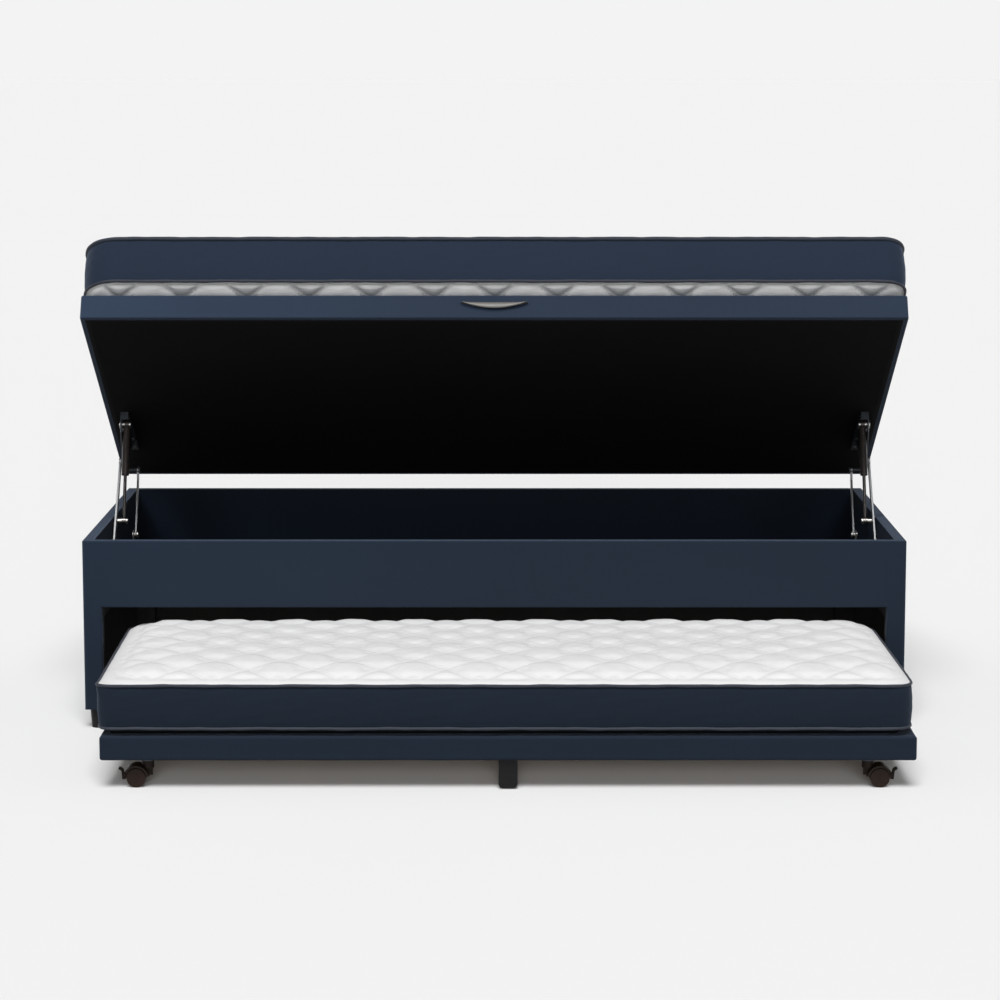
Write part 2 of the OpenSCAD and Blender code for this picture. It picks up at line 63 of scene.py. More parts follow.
def wob(x, y, seed=0.0):
    """Smooth fixed unevenness between about -1 and 1, for coordinates in metres."""
    s = seed * 1.7
    return (np.sin(x * 11.3 + y * 5.1 + s) + np.sin(x * 23.9 - y * 17.7 + 2.1 * s + 1.0)
            + np.sin(x * 47.3 + y * 39.1 + 3.3 * s + 2.0) + 0.7 * np.sin(x * 91.7 - y * 71.3 + 4.1 * s)) / 3.7


# ---------------------------------------------------------------- materials
def start(name):
    m = bpy.data.materials.new(name)
    m.use_nodes = True
    nt = m.node_tree
    nt.nodes.clear()
    out = nt.nodes.new("ShaderNodeOutputMaterial")
    b = nt.nodes.new("ShaderNodeBsdfPrincipled")
    nt.links.new(b.outputs[0], out.inputs[0])
    return m, nt, b


def coords(nt, rot=0.0):
    tc = nt.nodes.new("ShaderNodeTexCoord")
    mp = nt.nodes.new("ShaderNodeMapping")
    mp.inputs["Rotation"].default_value = (rot, 0.0, 0.0)
    nt.links.new(tc.outputs["Object"], mp.inputs["Vector"])
    return mp.outputs["Vector"]


def stretch(nt, vec, scale, loc=(0, 0, 0)):
    mp = nt.nodes.new("ShaderNodeMapping")
    mp.inputs["Scale"].default_value = scale
    mp.inputs["Location"].default_value = loc
    nt.links.new(vec, mp.inputs["Vector"])
    return mp.outputs["Vector"]


def noise(nt, vec, scale=1.0, detail=3.0, rough=0.55):
    n = nt.nodes.new("ShaderNodeTexNoise")
    n.inputs["Scale"].default_value = scale
    n.inputs["Detail"].default_value = detail
    n.inputs["Roughness"].default_value = rough
    nt.links.new(vec, n.inputs["Vector"])
    return n.outputs["Fac"]


def math2(nt, op, a, b=None, c=None):
    n = nt.nodes.new("ShaderNodeMath")
    n.operation = op
    for k, v in enumerate((a, b, c)):
        if v is None:
            continue
        if isinstance(v, (int, float)):
            n.inputs[k].default_value = v
        else:
            nt.links.new(v, n.inputs[k])
    return n.outputs[0]


def sines(nt, vec, pitch, phase=0.0):
    """Threads crossing on any face: a sine along each axis."""
    s = nt.nodes.new("ShaderNodeSeparateXYZ")
    nt.links.new(vec, s.inputs[0])
    k = 2 * math.pi / pitch
    w = [math2(nt, "SINE", math2(nt, "MULTIPLY_ADD", s.outputs[i], k, phase)) for i in range(3)]
    return math2(nt, "ADD", math2(nt, "ADD", w[0], w[1]), w[2])


def ramp(nt, fac, stops):
    r = nt.nodes.new("ShaderNodeValToRGB")
    e = r.color_ramp.elements
    while len(e) < len(stops):
        e.new(0.5)
    for k, (p, c) in enumerate(stops):
        e[k].position = p
        e[k].color = (c[0], c[1], c[2], 1.0)
    nt.links.new(fac, r.inputs["Fac"])
    return r.outputs["Color"]


def bump(nt, bsdf, height, strength, distance, under=None):
    b = nt.nodes.new("ShaderNodeBump")
    b.inputs["Strength"].default_value = strength
    b.inputs["Distance"].default_value = distance
    nt.links.new(height, b.inputs["Height"])
    if under is not None:
        nt.links.new(under, b.inputs["Normal"])
    nt.links.new(b.outputs["Normal"], bsdf.inputs["Normal"])
    return b.outputs["Normal"]


def shade(c, f):
    return tuple(min(1.0, v * f) for v in c)


def woven(name, base, rot=0.0, sheen=0.14, pitch=0.0011, vary=0.16, wave=0.0008):
    """Plain upholstery weave with slubs along both thread directions."""
    m, nt, b = start(name)
    v = coords(nt, rot)
    across = noise(nt, stretch(nt, v, (7, 7, 620)), 1.0, 4.0, 0.6)
    down = noise(nt, stretch(nt, v, (620, 620, 7), (3, 5, 1)), 1.0, 4.0, 0.6)
    broad = noise(nt, stretch(nt, v, (3.0, 3.0, 5.0), (7, 1, 3)), 1.0, 2.0)
    sl = math2(nt, "ADD", across, down)
    sl = math2(nt, "MULTIPLY_ADD", broad, 0.5, sl)
    col = ramp(nt, math2(nt, "MULTIPLY", sl, 0.4),
               [(0.30, shade(base, 1 - vary)), (0.52, base), (0.72, shade(base, 1 + 1.3 * vary))])
    nt.links.new(col, b.inputs["Base Color"])
    b.inputs["Roughness"].default_value = 0.86
    b.inputs["Specular IOR Level"].default_value = 0.25
    b.inputs["Sheen Weight"].default_value = sheen
    b.inputs["Sheen Roughness"].default_value = 0.45
    b.inputs["Sheen Tint"].default_value = (0.62, 0.74, 1.0, 1.0)
    h = math2(nt, "MULTIPLY_ADD", sl, 1.4, sines(nt, v, pitch))
    n1 = bump(nt, b, noise(nt, stretch(nt, v, (5, 5, 7), (1, 2, 9)), 1.0, 2.0), 0.5, wave * 3)
    bump(nt, b, h, 0.35, 0.00022, n1)
    return m


def ticking(name, base, px, py, x0, y0, rot=0.0, shift=(0, 0, 0), stitches=True, stitch_and_groove_shade=0.80, wide=85.0, edge_line=0.0):
    """Knitted white mattress ticking with the quilting's lines darkened: dashed stitching plus painted shade in the
    stitched grooves.
    """
    m, nt, b = start(name)
    v = coords(nt, rot)
    if shift != (0, 0, 0):
        v = stretch(nt, v, (1, 1, 1), shift)
    s = nt.nodes.new("ShaderNodeSeparateXYZ")
    nt.links.new(v, s.inputs[0])
    X, Y = s.outputs[0], s.outputs[1]
    knit = sines(nt, v, 0.0021)
    fine = noise(nt, stretch(nt, v, (420, 420, 420)), 1.0, 3.0)
    broad = noise(nt, stretch(nt, v, (9, 9, 9), (2, 3, 4)), 1.0, 2.0)
    tone = math2(nt, "MULTIPLY_ADD", fine, 0.5, math2(nt, "MULTIPLY", broad, 0.5))
    col = ramp(nt, tone, [(0.3, shade(base, 0.95)), (0.5, base), (0.7, shade(base, 1.03))])
    # Quilting lines darkened: dashed stitches plus painted shade in the grooves.
    if stitches:
        ax = math2(nt, "MULTIPLY_ADD", X, 1.0 / px, -x0 / px)
        line = None
        for sg in (1.0, -1.0):
            t = math2(nt, "MULTIPLY_ADD", Y, sg / py, math2(nt, "ADD", ax, -sg * y0 / py))
            d = math2(nt, "ABSOLUTE", math2(nt, "SUBTRACT", math2(nt, "FRACT", math2(nt, "ADD", t, 0.5)), 0.5))
            line = d if line is None else math2(nt, "MINIMUM", line, d)
        dash = math2(nt, "SINE", math2(nt, "MULTIPLY", X, 2 * math.pi / 0.0042))
        thr = math2(nt, "SUBTRACT", 1.0, math2(nt, "MULTIPLY", line, wide))
        thr = math2(nt, "MAXIMUM", thr, 0.0)
        thr = math2(nt, "MULTIPLY", thr, math2(nt, "MULTIPLY_ADD", dash, 0.35, 0.65))
        at = nt.nodes.new("ShaderNodeAttribute")
        at.attribute_name = "quilted"
        thr = math2(nt, "MULTIPLY", thr, at.outputs["Fac"])
        # A darker band at the inset edge_line: painted shade along the seam groove.
        if edge_line:
            ins = nt.nodes.new("ShaderNodeAttribute")
            ins.attribute_name = "inset"
            off = math2(nt, "ABSOLUTE", math2(nt, "SUBTRACT", ins.outputs["Fac"], edge_line))
            thr = math2(nt, "MAXIMUM", thr, math2(nt, "MULTIPLY", math2(nt, "SUBTRACT", 1.0, math2(nt, "DIVIDE", off, 0.0011)), 0.8))
        mx = nt.nodes.new("ShaderNodeMix")
        mx.data_type = "RGBA"
        nt.links.new(thr, mx.inputs["Factor"])
        nt.links.new(col, mx.inputs["A"])
        mx.inputs["B"].default_value = (base[0] * stitch_and_groove_shade, base[1] * stitch_and_groove_shade, base[2] * stitch_and_groove_shade, 1)
        col = mx.outputs["Result"]
    nt.links.new(col, b.inputs["Base Color"])
    b.inputs["Roughness"].default_value = 0.8
    b.inputs["Specular IOR Level"].default_value = 0.3
    b.inputs["Sheen Weight"].default_value = 0.12
    b.inputs["Sheen Roughness"].default_value = 0.5
    bump(nt, b, math2(nt, "MULTIPLY_ADD", fine, 2.0, knit), 0.3, 0.0003)
    return m


def twill(name, base, rot=0.0):
    m, nt, b = start(name)
    v = coords(nt, rot)
    s = nt.nodes.new("ShaderNodeSeparateXYZ")
    nt.links.new(v, s.inputs[0])
    t = math2(nt, "ADD", math2(nt, "ADD", s.outputs[0], s.outputs[1]), s.outputs[2])
    rib = math2(nt, "SINE", math2(nt, "MULTIPLY", t, 2 * math.pi / 0.0026))
    fine = noise(nt, stretch(nt, v, (300, 300, 300)), 1.0, 3.0)
    tone = math2(nt, "MULTIPLY_ADD", rib, 0.13, fine)
    col = ramp(nt, tone, [(0.3, shade(base, 0.78)), (0.55, base), (0.75, shade(base, 1.25))])
    nt.links.new(col, b.inputs["Base Color"])
    b.inputs["Roughness"].default_value = 0.7
    b.inputs["Sheen Weight"].default_value = 0.15
    b.inputs["Sheen Roughness"].default_value = 0.4
    bump(nt, b, rib, 0.4, 0.00025)
    return m


def nonwoven(name, base, rot=0.0):
    """Spun-bonded lining: matt, with a fine grid of bonding points and soft creases."""
    m, nt, b = start(name)
    v = coords(nt, rot)
    vo = nt.nodes.new("ShaderNodeTexVoronoi")
    vo.inputs["Scale"].default_value = 520.0
    vo.inputs["Randomness"].default_value = 0.25
    nt.links.new(v, vo.inputs["Vector"])
    fib = noise(nt, stretch(nt, v, (260, 60, 260)), 1.0, 5.0, 0.7)
    broad = noise(nt, stretch(nt, v, (4, 6, 4)), 1.0, 3.0)
    tone = math2(nt, "MULTIPLY_ADD", vo.outputs["Distance"], 0.35, math2(nt, "MULTIPLY_ADD", broad, 0.4, math2(nt, "MULTIPLY", fib, 0.35)))
    col = ramp(nt, tone, [(0.25, shade(base, 0.7)), (0.55, base), (0.8, shade(base, 1.5))])
    nt.links.new(col, b.inputs["Base Color"])
    b.inputs["Roughness"].default_value = 0.95
    b.inputs["Specular IOR Level"].default_value = 0.08
    n1 = bump(nt, b, broad, 0.35, 0.003)
    bump(nt, b, vo.outputs["Distance"], 0.4, 0.0003, n1)
    return m


def timber(name, light, dark, along="X"):
    m, nt, b = start(name)
    v = coords(nt)
    sc = {"X": (1.6, 26, 26), "Y": (26, 1.6, 26), "Z": (26, 26, 1.6)}[along]
    warp = noise(nt, stretch(nt, v, sc), 1.0, 4.0, 0.6)
    fine = noise(nt, stretch(nt, v, tuple(k * 14 for k in sc)), 1.0, 3.0, 0.6)
    grain = math2(nt, "SINE", math2(nt, "MULTIPLY", warp, 34.0))
    tone = math2(nt, "MULTIPLY_ADD", grain, 0.16, math2(nt, "MULTIPLY_ADD", fine, 0.5, 0.25))
    col = ramp(nt, tone, [(0.2, dark), (0.5, tuple((p + q) / 2 for p, q in zip(light, dark))), (0.8, light)])
    nt.links.new(col, b.inputs["Base Color"])
    nt.links.new(math2(nt, "MULTIPLY_ADD", fine, 0.25, 0.5), b.inputs["Roughness"])
    bump(nt, b, tone, 0.25, 0.0006)
    return m


def metal(name, base, rough, scratch=(40, 900, 40), blotch=0.25, strength=0.12, metallic=1.0):
    m, nt, b = start(name)
    v = coords(nt)
    lines = noise(nt, stretch(nt, v, scratch), 1.0, 4.0, 0.65)
    spots = noise(nt, stretch(nt, v, (38, 38, 38)), 1.0, 4.0, 0.6)
    tone = math2(nt, "MULTIPLY_ADD", lines, 0.45, math2(nt, "MULTIPLY", spots, 0.55))
    col = ramp(nt, tone, [(0.3, shade(base, 1 - blotch)), (0.5, base), (0.75, shade(base, 1 + blotch))])
    nt.links.new(col, b.inputs["Base Color"])
    b.inputs["Metallic"].default_value = metallic
    nt.links.new(math2(nt, "MULTIPLY_ADD", tone, 0.3, rough - 0.15), b.inputs["Roughness"])
    bump(nt, b, lines, strength, 0.0002)
    return m


def plastic(name, base, rough=0.42, grain=0.25, coat=0.0, spec=0.28):
    m, nt, b = start(name)
    v = coords(nt)
    g = noise(nt, stretch(nt, v, (900, 900, 900)), 1.0, 2.0)
    w = noise(nt, stretch(nt, v, (30, 30, 30)), 1.0, 3.0)
    col = ramp(nt, math2(nt, "MULTIPLY_ADD", g, 0.3, math2(nt, "MULTIPLY", w, 0.7)),
               [(0.3, shade(base, 0.8)), (0.5, base), (0.75, shade(base, 1.35))])
    nt.links.new(col, b.inputs["Base Color"])
    nt.links.new(math2(nt, "MULTIPLY_ADD", w, 0.2, rough - 0.1), b.inputs["Roughness"])
    b.inputs["Specular IOR Level"].default_value = spec
    if coat:
        b.inputs["Coat Weight"].default_value = coat
        b.inputs["Coat Roughness"].default_value = 0.25
    bump(nt, b, g, grain, 0.0002)
    return m


NAVY = (0.0170, 0.0300, 0.0560)
NAVY2 = (0.0138, 0.0298, 0.0585)
PX, PY = 0.1413, 0.1340           # quilting pitch of the trundle mattress
QX, QY = -0.094, -0.5145 + Y0
UX, UY = 0.1421, 0.1340           # and of the upper one
# One navy weave in lit and shaded copies: the box, lid and trundle covers and the two mattress borders differ mainly in
# brightness, painted light and shade for how much light each part gets.
cover_box = woven("navy_weave_box", shade(NAVY2, 0.335))
cover_lid = woven("navy_weave_lid", shade(NAVY, 0.485), rot=TH)
cover_low = woven("navy_weave_trundle", shade(NAVY2, 0.48))
# Darker copy of the navy weave for the storage box's inside faces and its floor lining: painted shade inside the box.
cover_in_shaded = woven("navy_weave_inside", shade(NAVY, 0.24), sheen=0.03)
border_up = woven("navy_border_upper", (0.0092, 0.0182, 0.0370), rot=TH, pitch=0.0015, vary=0.1)
border_low = woven("navy_border_lower", shade(NAVY2, 0.42), pitch=0.0015, vary=0.1)
pipe_up = twill("piping_upper", (0.018, 0.022, 0.036), rot=TH)
pipe_low = twill("piping_lower", (0.021, 0.027, 0.042))
# Darker copy of the upper piping for the mattress's top edge: painted shade of the shadow line beneath it.
pipe_top = twill("piping_upper_edge", (0.014, 0.020, 0.034), rot=TH)
WHITE = (0.70, 0.70, 0.70)
# Brighter copy of the white ticking for the upper mattress's downward-facing underside strip: painted light.
WHITE_UNDER_LIT = (0.90, 0.897, 0.895)
tick_low = ticking("white_ticking_lower", WHITE, PX, PY, QX, QY)
# the upper one's pattern is laid out in the lid's own frame
inv = LID.inverted()
tick_up = ticking("white_ticking_upper", WHITE, UX, UY, 0.0017, -0.440 + 0.0215, rot=TH, shift=tuple(inv.translation))
tick_in = ticking("white_ticking_under", WHITE_UNDER_LIT, UX, UY, 0.0017, -0.440 + 0.0215, rot=TH, shift=tuple(inv.translation), stitch_and_groove_shade=0.30, wide=55.0, edge_line=0.0055)
under_m = nonwoven("mattress_underside", (0.016, 0.018, 0.022))
lining = nonwoven("black_nonwoven", (0.0042, 0.0043, 0.0045), rot=TH)
wood_x = timber("pine_lengthwise", (0.62, 0.44, 0.25), (0.42, 0.26, 0.12), "X")
wood_y = timber("pine_crosswise", (0.62, 0.44, 0.25), (0.42, 0.26, 0.12), "Y")
wood_z = timber("pine_upright", (0.62, 0.44, 0.25), (0.42, 0.26, 0.12), "Z")
# Near-black timber colour for the storage floor, its battens and cleats and the rear corner blocks: painted shade where
# these sit in shadow under and inside the bed.
shade_dark_wood = timber("stained_timber", (0.050, 0.045, 0.041), (0.028, 0.024, 0.022), "Y")
bay_m = nonwoven("bay_lining", (0.055, 0.055, 0.052))
board = timber("plywood", (0.60, 0.46, 0.30), (0.46, 0.32, 0.18), "X")
zinc = metal("zinc_steel", (0.20, 0.205, 0.21), 0.40)
zinc_b = metal("zinc_screws", (0.42, 0.41, 0.39), 0.34, (200, 200, 200))
bracket_m = metal("bracket_steel", (0.050, 0.056, 0.064), 0.45, metallic=0.7)
dark_iron = metal("painted_bracket", (0.060, 0.058, 0.060), 0.45, metallic=0.35)
rodm = metal("polished_rod", (0.16, 0.15, 0.145), 0.22, (30, 30, 30), 0.1, 0.04)
enamel = plastic("black_enamel", (0.0095, 0.0075, 0.0068), 0.3, 0.1, coat=0.35)
handle_m = metal("satin_handle", (0.100, 0.096, 0.090), 0.5, (60, 60, 1500), 0.12, 0.1, metallic=0.55)
black_p = plastic("black_plastic", (0.0065, 0.0065, 0.0070), 0.48, spec=0.16)
brown_p = plastic("caster_brown", (0.0150, 0.0086, 0.0060), 0.42, spec=0.14)
tread = plastic("caster_tread", (0.0215, 0.0126, 0.0090), 0.5, spec=0.14)

NODE_MATS = {
    "front_panel": wood_x, "front_posts": wood_z, "side_panels": wood_y, "back_panel": wood_x,
    "storage_floor": shade_dark_wood, "floor_lining": cover_in_shaded, "floor_battens": shade_dark_wood, "floor_cleats": shade_dark_wood,
    "rear_corner_blocks": shade_dark_wood, "corner_feet": black_p, "base_bracket_left": dark_iron,
    "base_bracket_right": dark_iron, "base_bracket_screws": zinc_b, "base_pivot_pins": zinc_b,
    "lid_long_rails": wood_x, "lid_end_rails": wood_y, "lid_battens": wood_y, "lid_top_board": board,
    "handle_screws": zinc_b, "lid_bracket_left": bracket_m, "lid_bracket_right": bracket_m,
    "lid_bracket_screws": zinc_b, "lid_pivot_pins": zinc_b, "outer_arm_left": zinc, "outer_arm_right": zinc,
    "spring_lower_pins": zinc_b, "inner_arm_left": zinc, "inner_arm_right": zinc, "inner_arm_pins": bracket_m,
    "gas_rod_left": rodm, "gas_rod_right": rodm, "gas_cylinder_left": enamel, "gas_cylinder_right": enamel,
    "spring_upper_pins": zinc_b, "trundle_long_rails": wood_x, "trundle_end_rails": wood_y,
    "trundle_battens": wood_y, "trundle_corner_blocks": wood_z, "trundle_deck": board,
    "trundle_mid_feet": black_p, "caster_plates": bracket_m, "caster_screws": bracket_m,
}
for nm, ob in frame["nodes"].items():
    mt = NODE_MATS.get(nm)
    if mt is None:
        mt = tread if nm.startswith("caster_wheels") else brown_p if nm.startswith(("caster_fork", "brake")) else None
    if mt is None:
        continue
    if not ob.material_slots:
        ob.data.materials.append(mt)
    for sl in ob.material_slots:
        sl.material = mt


# ------------------------------------------------------------------- meshes
def make(name, verts, faces, mats, mat_index=None, smooth=True, matrix=None):
    me = bpy.data.meshes.new(name)
    me.from_pydata([tuple(v) for v in verts], [], [tuple(int(k) for k in f) for f in faces])
    if matrix is not None:
        me.transform(matrix)
    for m in mats:
        me.materials.append(m)
    if mat_index is not None:
        me.polygons.foreach_set("material_index", np.asarray(mat_index, dtype=np.int32))
    me.polygons.foreach_set("use_smooth", [smooth] * len(me.polygons))
    me.update()
    ob = bpy.data.objects.new(name, me)
    scene.collection.objects.link(ob)
    return ob


def cells(name, xs, ys, zs, keep, mats, matrix, width=0.007, weight=None, skip=None, move=None):
    """The skin of a set of grid cells, with its edges rounded by a bevel."""
    vid, verts, faces = {}, [], []

    def v(i, j, k):
        if (i, j, k) not in vid:
            vid[(i, j, k)] = len(verts)
            verts.append((xs[i], ys[j], zs[k]))
        return vid[(i, j, k)]

    nx, ny, nz = len(xs) - 1, len(ys) - 1, len(zs) - 1
    on = lambda i, j, k: 0 <= i < nx and 0 <= j < ny and 0 <= k < nz and keep(i, j, k)
    for i in range(nx):
        for j in range(ny):
            for k in range(nz):
                if not on(i, j, k):
                    continue
                quads = {
                    (-1, 0, 0): ((i, j, k), (i, j, k + 1), (i, j + 1, k + 1), (i, j + 1, k)),
                    (1, 0, 0): ((i + 1, j, k), (i + 1, j + 1, k), (i + 1, j + 1, k + 1), (i + 1, j, k + 1)),
                    (0, -1, 0): ((i, j, k), (i + 1, j, k), (i + 1, j, k + 1), (i, j, k + 1)),
                    (0, 1, 0): ((i, j + 1, k), (i, j + 1, k + 1), (i + 1, j + 1, k + 1), (i + 1, j + 1, k)),
                    (0, 0, -1): ((i, j, k), (i, j + 1, k), (i + 1, j + 1, k), (i + 1, j, k)),
                    (0, 0, 1): ((i, j, k + 1), (i + 1, j, k + 1), (i + 1, j + 1, k + 1), (i, j + 1, k + 1)),
                }
                for (a, b_, c), q in quads.items():
                    if on(i + a, j + b_, k + c) or (skip and skip(i, j, k, (a, b_, c))):
                        continue
                    faces.append([v(*p) for p in q])
    vv = np.array(verts)
    if move is not None:
        vv = move(vv)
    ob = make(name, vv, faces, mats, matrix=None)
    me = ob.data
    bm = bmesh.new()
    bm.from_mesh(me)
    bm.normal_update()
    lay = bm.edges.layers.float.get("bevel_weight_edge") or bm.edges.layers.float.new("bevel_weight_edge")
    for e in bm.edges:
        if len(e.link_faces) != 2:
            continue
        ang = e.calc_face_angle(0.0)
        if ang < 0.6:
            continue
        mid = (e.verts[0].co + e.verts[1].co) / 2
        w = 1.0 if e.is_convex else 0.3
        if weight:
            w = weight(mid, e.is_convex, w)
        e[lay] = w
    bm.to_mesh(me)
    bm.free()
    bv = ob.modifiers.new("round", "BEVEL")
    bv.width = width
    bv.segments = 4
    bv.limit_method = "WEIGHT"
    bv.harden_normals = True
    bake_mods(ob)
    ob.data.transform(matrix)
    ob.data.update()
    return ob


def bake_mods(ob):
    dg = bpy.context.evaluated_depsgraph_get()
    dg.update()
    me = bpy.data.meshes.new_from_object(ob.evaluated_get(dg), preserve_all_data_layers=True, depsgraph=dg)
    ob.modifiers.clear()
    old = ob.data
    ob.data = me
    bpy.data.meshes.remove(old)


def cuts(a, b, step, extra=()):
    n = max(1, int(round((b - a) / step)))
    s = sorted(set([round(a + (b - a) * k / n, 6) for k in range(n + 1)] + [round(e, 6) for e in extra]))
    out = [s[0]]
    for q in s[1:]:
        if q - out[-1] < 0.004:
            if q in [round(e, 6) for e in extra]:
                out[-1] = q
            continue
        out.append(q)
    return out


# ---- box
L, W = 0.940, 0.880
IN, PO = 0.915, 0.8975
xs = [-L, -IN, -PO, PO, IN, L]
ys = [0.0, 0.025, 0.046, 0.855, W]
zs = [0.0449, 0.283, 0.437]


def box_keep(i, j, k):
    if i in (0, 4) or j == 3:
        return True
    if j == 0 and k == 1:
        return True
    return k == 0 and i in (1, 3) and j in (0, 1)


def box_weight(mid, convex, w):
    if mid.z < 0.05:
        return 0.08
    upright = abs(abs(mid.x) - L) < 1e-4 and (abs(mid.y) < 1e-4 or abs(mid.y - W) < 1e-4)
    return w if upright else 0.45 * w


box = cells("box_upholstery", xs, ys, zs, box_keep, [cover_box, cover_in_shaded, bay_m], ROW, width=0.0075, weight=box_weight)
# Inside faces above the bay get the darker navy copy, painted shade; those in the bay get the grey bay lining.
for p_ in box.data.polygons:
    c = p_.center
    if abs(c.x) < 0.9156 and 0.0244 < c.y - Y0 < 0.8556 and abs(p_.normal.z) < 0.5:
        p_.material_index = 1 if c.z > 0.283 else 2
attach(box, "base")
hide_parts("box_fabric_cover")

# ---- lid
LT = 0.058
M = 0.013


def lid_weight(mid, w):
    end, side = abs(abs(mid.x) - L) < 1e-4, mid.y < -W + 1e-4 or mid.y > -1e-4
    return w if end and side else 0.43 * w if end or side else 0.0


lid = cells("lid_upholstery", [-L, -L + M, L - M, L], [-W, -W + M, -M, 0.0], [0.0, LT],
            lambda i, j, k: True, [cover_lid], LID, width=0.008,
            skip=lambda i, j, k, d: i == 1 and j == 1 and d == (0, 0, -1),
            weight=lambda mid, convex, w: lid_weight(mid, w))
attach(lid, "lid")
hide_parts("lid_fabric_cover")


def lining_sheet():
    """Underside lining: stapled taut at its edge, slack between the battens."""
    nx, ny = 150, 70
    x = np.linspace(-L + M - 0.0015, L - M + 0.0015, nx)
    y = np.linspace(-W + M - 0.0015, -M + 0.0015, ny)
    X, Y = np.meshgrid(x, y, indexing="ij")
    d = np.minimum(np.minimum(X - x[0], x[-1] - X), np.minimum(Y - y[0], y[-1] - Y))
    t = np.clip(d / 0.03, 0, 1)
    edge = -0.0006 * (1 - np.clip(d / 0.006, 0, 1))
    Z = 0.0003 + edge + t * (0.0006 * wob(X * 1.3, Y * 1.7, 4) + 0.0004)
    v = np.stack([X, Y, Z], -1).reshape(-1, 3)
    f = []
    for i in range(nx - 1):
        for j in range(ny - 1):
            a = i * ny + j
            f.append((a, a + 1, a + ny + 1, a + ny))
    ob = make("lid_underside_lining", v, f, [lining], matrix=LID)
    so = ob.modifiers.new("thick", "SOLIDIFY")
    so.thickness = 0.0004
    so.offset = -1
    bake_mods(ob)
    return ob


lin = lining_sheet()
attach(lin, "lid")
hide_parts("lid_underside_cover")

# ---- trundle base
TL, TW, TZ, TT = 0.858, 0.340, 0.064, 0.116
txs = cuts(-TL, TL, 0.045, (-TL + 0.03, TL - 0.03))
tys = cuts(-TW, TW, 0.045, (-TW + 0.03, TW - 0.03))
inx = lambda i: -TL + 0.03 - 1e-4 <= txs[i] and txs[i + 1] <= TL - 0.03 + 1e-4
iny = lambda j: -TW + 0.03 - 1e-4 <= tys[j] and tys[j + 1] <= TW - 0.03 + 1e-4


def ripple(v):
    top = v[:, 2] > TT - 1e-4
    edge = (np.abs(np.abs(v[:, 0]) - TL) < 1e-4) | (np.abs(np.abs(v[:, 1]) - TW) < 1e-4)
    w = wob(v[:, 0] * 3.1, v[:, 1] * 3.1, 7)
    v = v.copy()
    v[:, 2] += np.where(top & edge, 0.0010 * w - 0.0006, 0.0)
    v[:, 2] += np.where(~top & edge, 0.0005 * wob(v[:, 0] * 2.3, v[:, 1] * 2.3, 3), 0.0)
    return v


base = cells("trundle_upholstery", txs, tys, [TZ, TT], lambda i, j, k: True, [cover_low], TRUNDLE, width=0.0055,
             skip=lambda i, j, k, d: inx(i) and iny(j) and d == (0, 0, -1), move=ripple,
             weight=lambda mid, convex, w: w if convex else 0.0)
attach(base, "trundle")
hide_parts("trundle_fabric_cover")


# ---- quilted mattresses
def simulate(ob, pins, pressure, slack, frames=20):
    vg = ob.vertex_groups.new(name="pin")
    vg.add([int(k) for k in pins], 1.0, "REPLACE")
    md = ob.modifiers.new("cloth", "CLOTH")
    st = md.settings
    st.quality = 4
    st.mass = 0.25
    st.tension_stiffness = 12
    st.compression_stiffness = 12
    st.shear_stiffness = 4
    st.bending_stiffness = 0.4
    st.air_damping = 2.0
    st.use_pressure = True
    st.uniform_pressure_force = pressure
    st.vertex_group_mass = "pin"
    st.pin_stiffness = 1.0
    st.shrink_min = -slack
    st.effector_weights.gravity = 0.0
    md.collision_settings.use_collision = False
    md.collision_settings.use_self_collision = False
    md.point_cache.frame_start = 1
    md.point_cache.frame_end = frames
    for f in range(1, frames + 1):
        scene.frame_set(f)
    dg = bpy.context.evaluated_depsgraph_get()
    me = ob.evaluated_get(dg).to_mesh()
    co = np.empty(len(me.vertices) * 3)
    me.vertices.foreach_get("co", co)
    ob.evaluated_get(dg).to_mesh_clear()
    ob.modifiers.clear()
    scene.frame_set(1)
    return co.reshape(-1, 3)


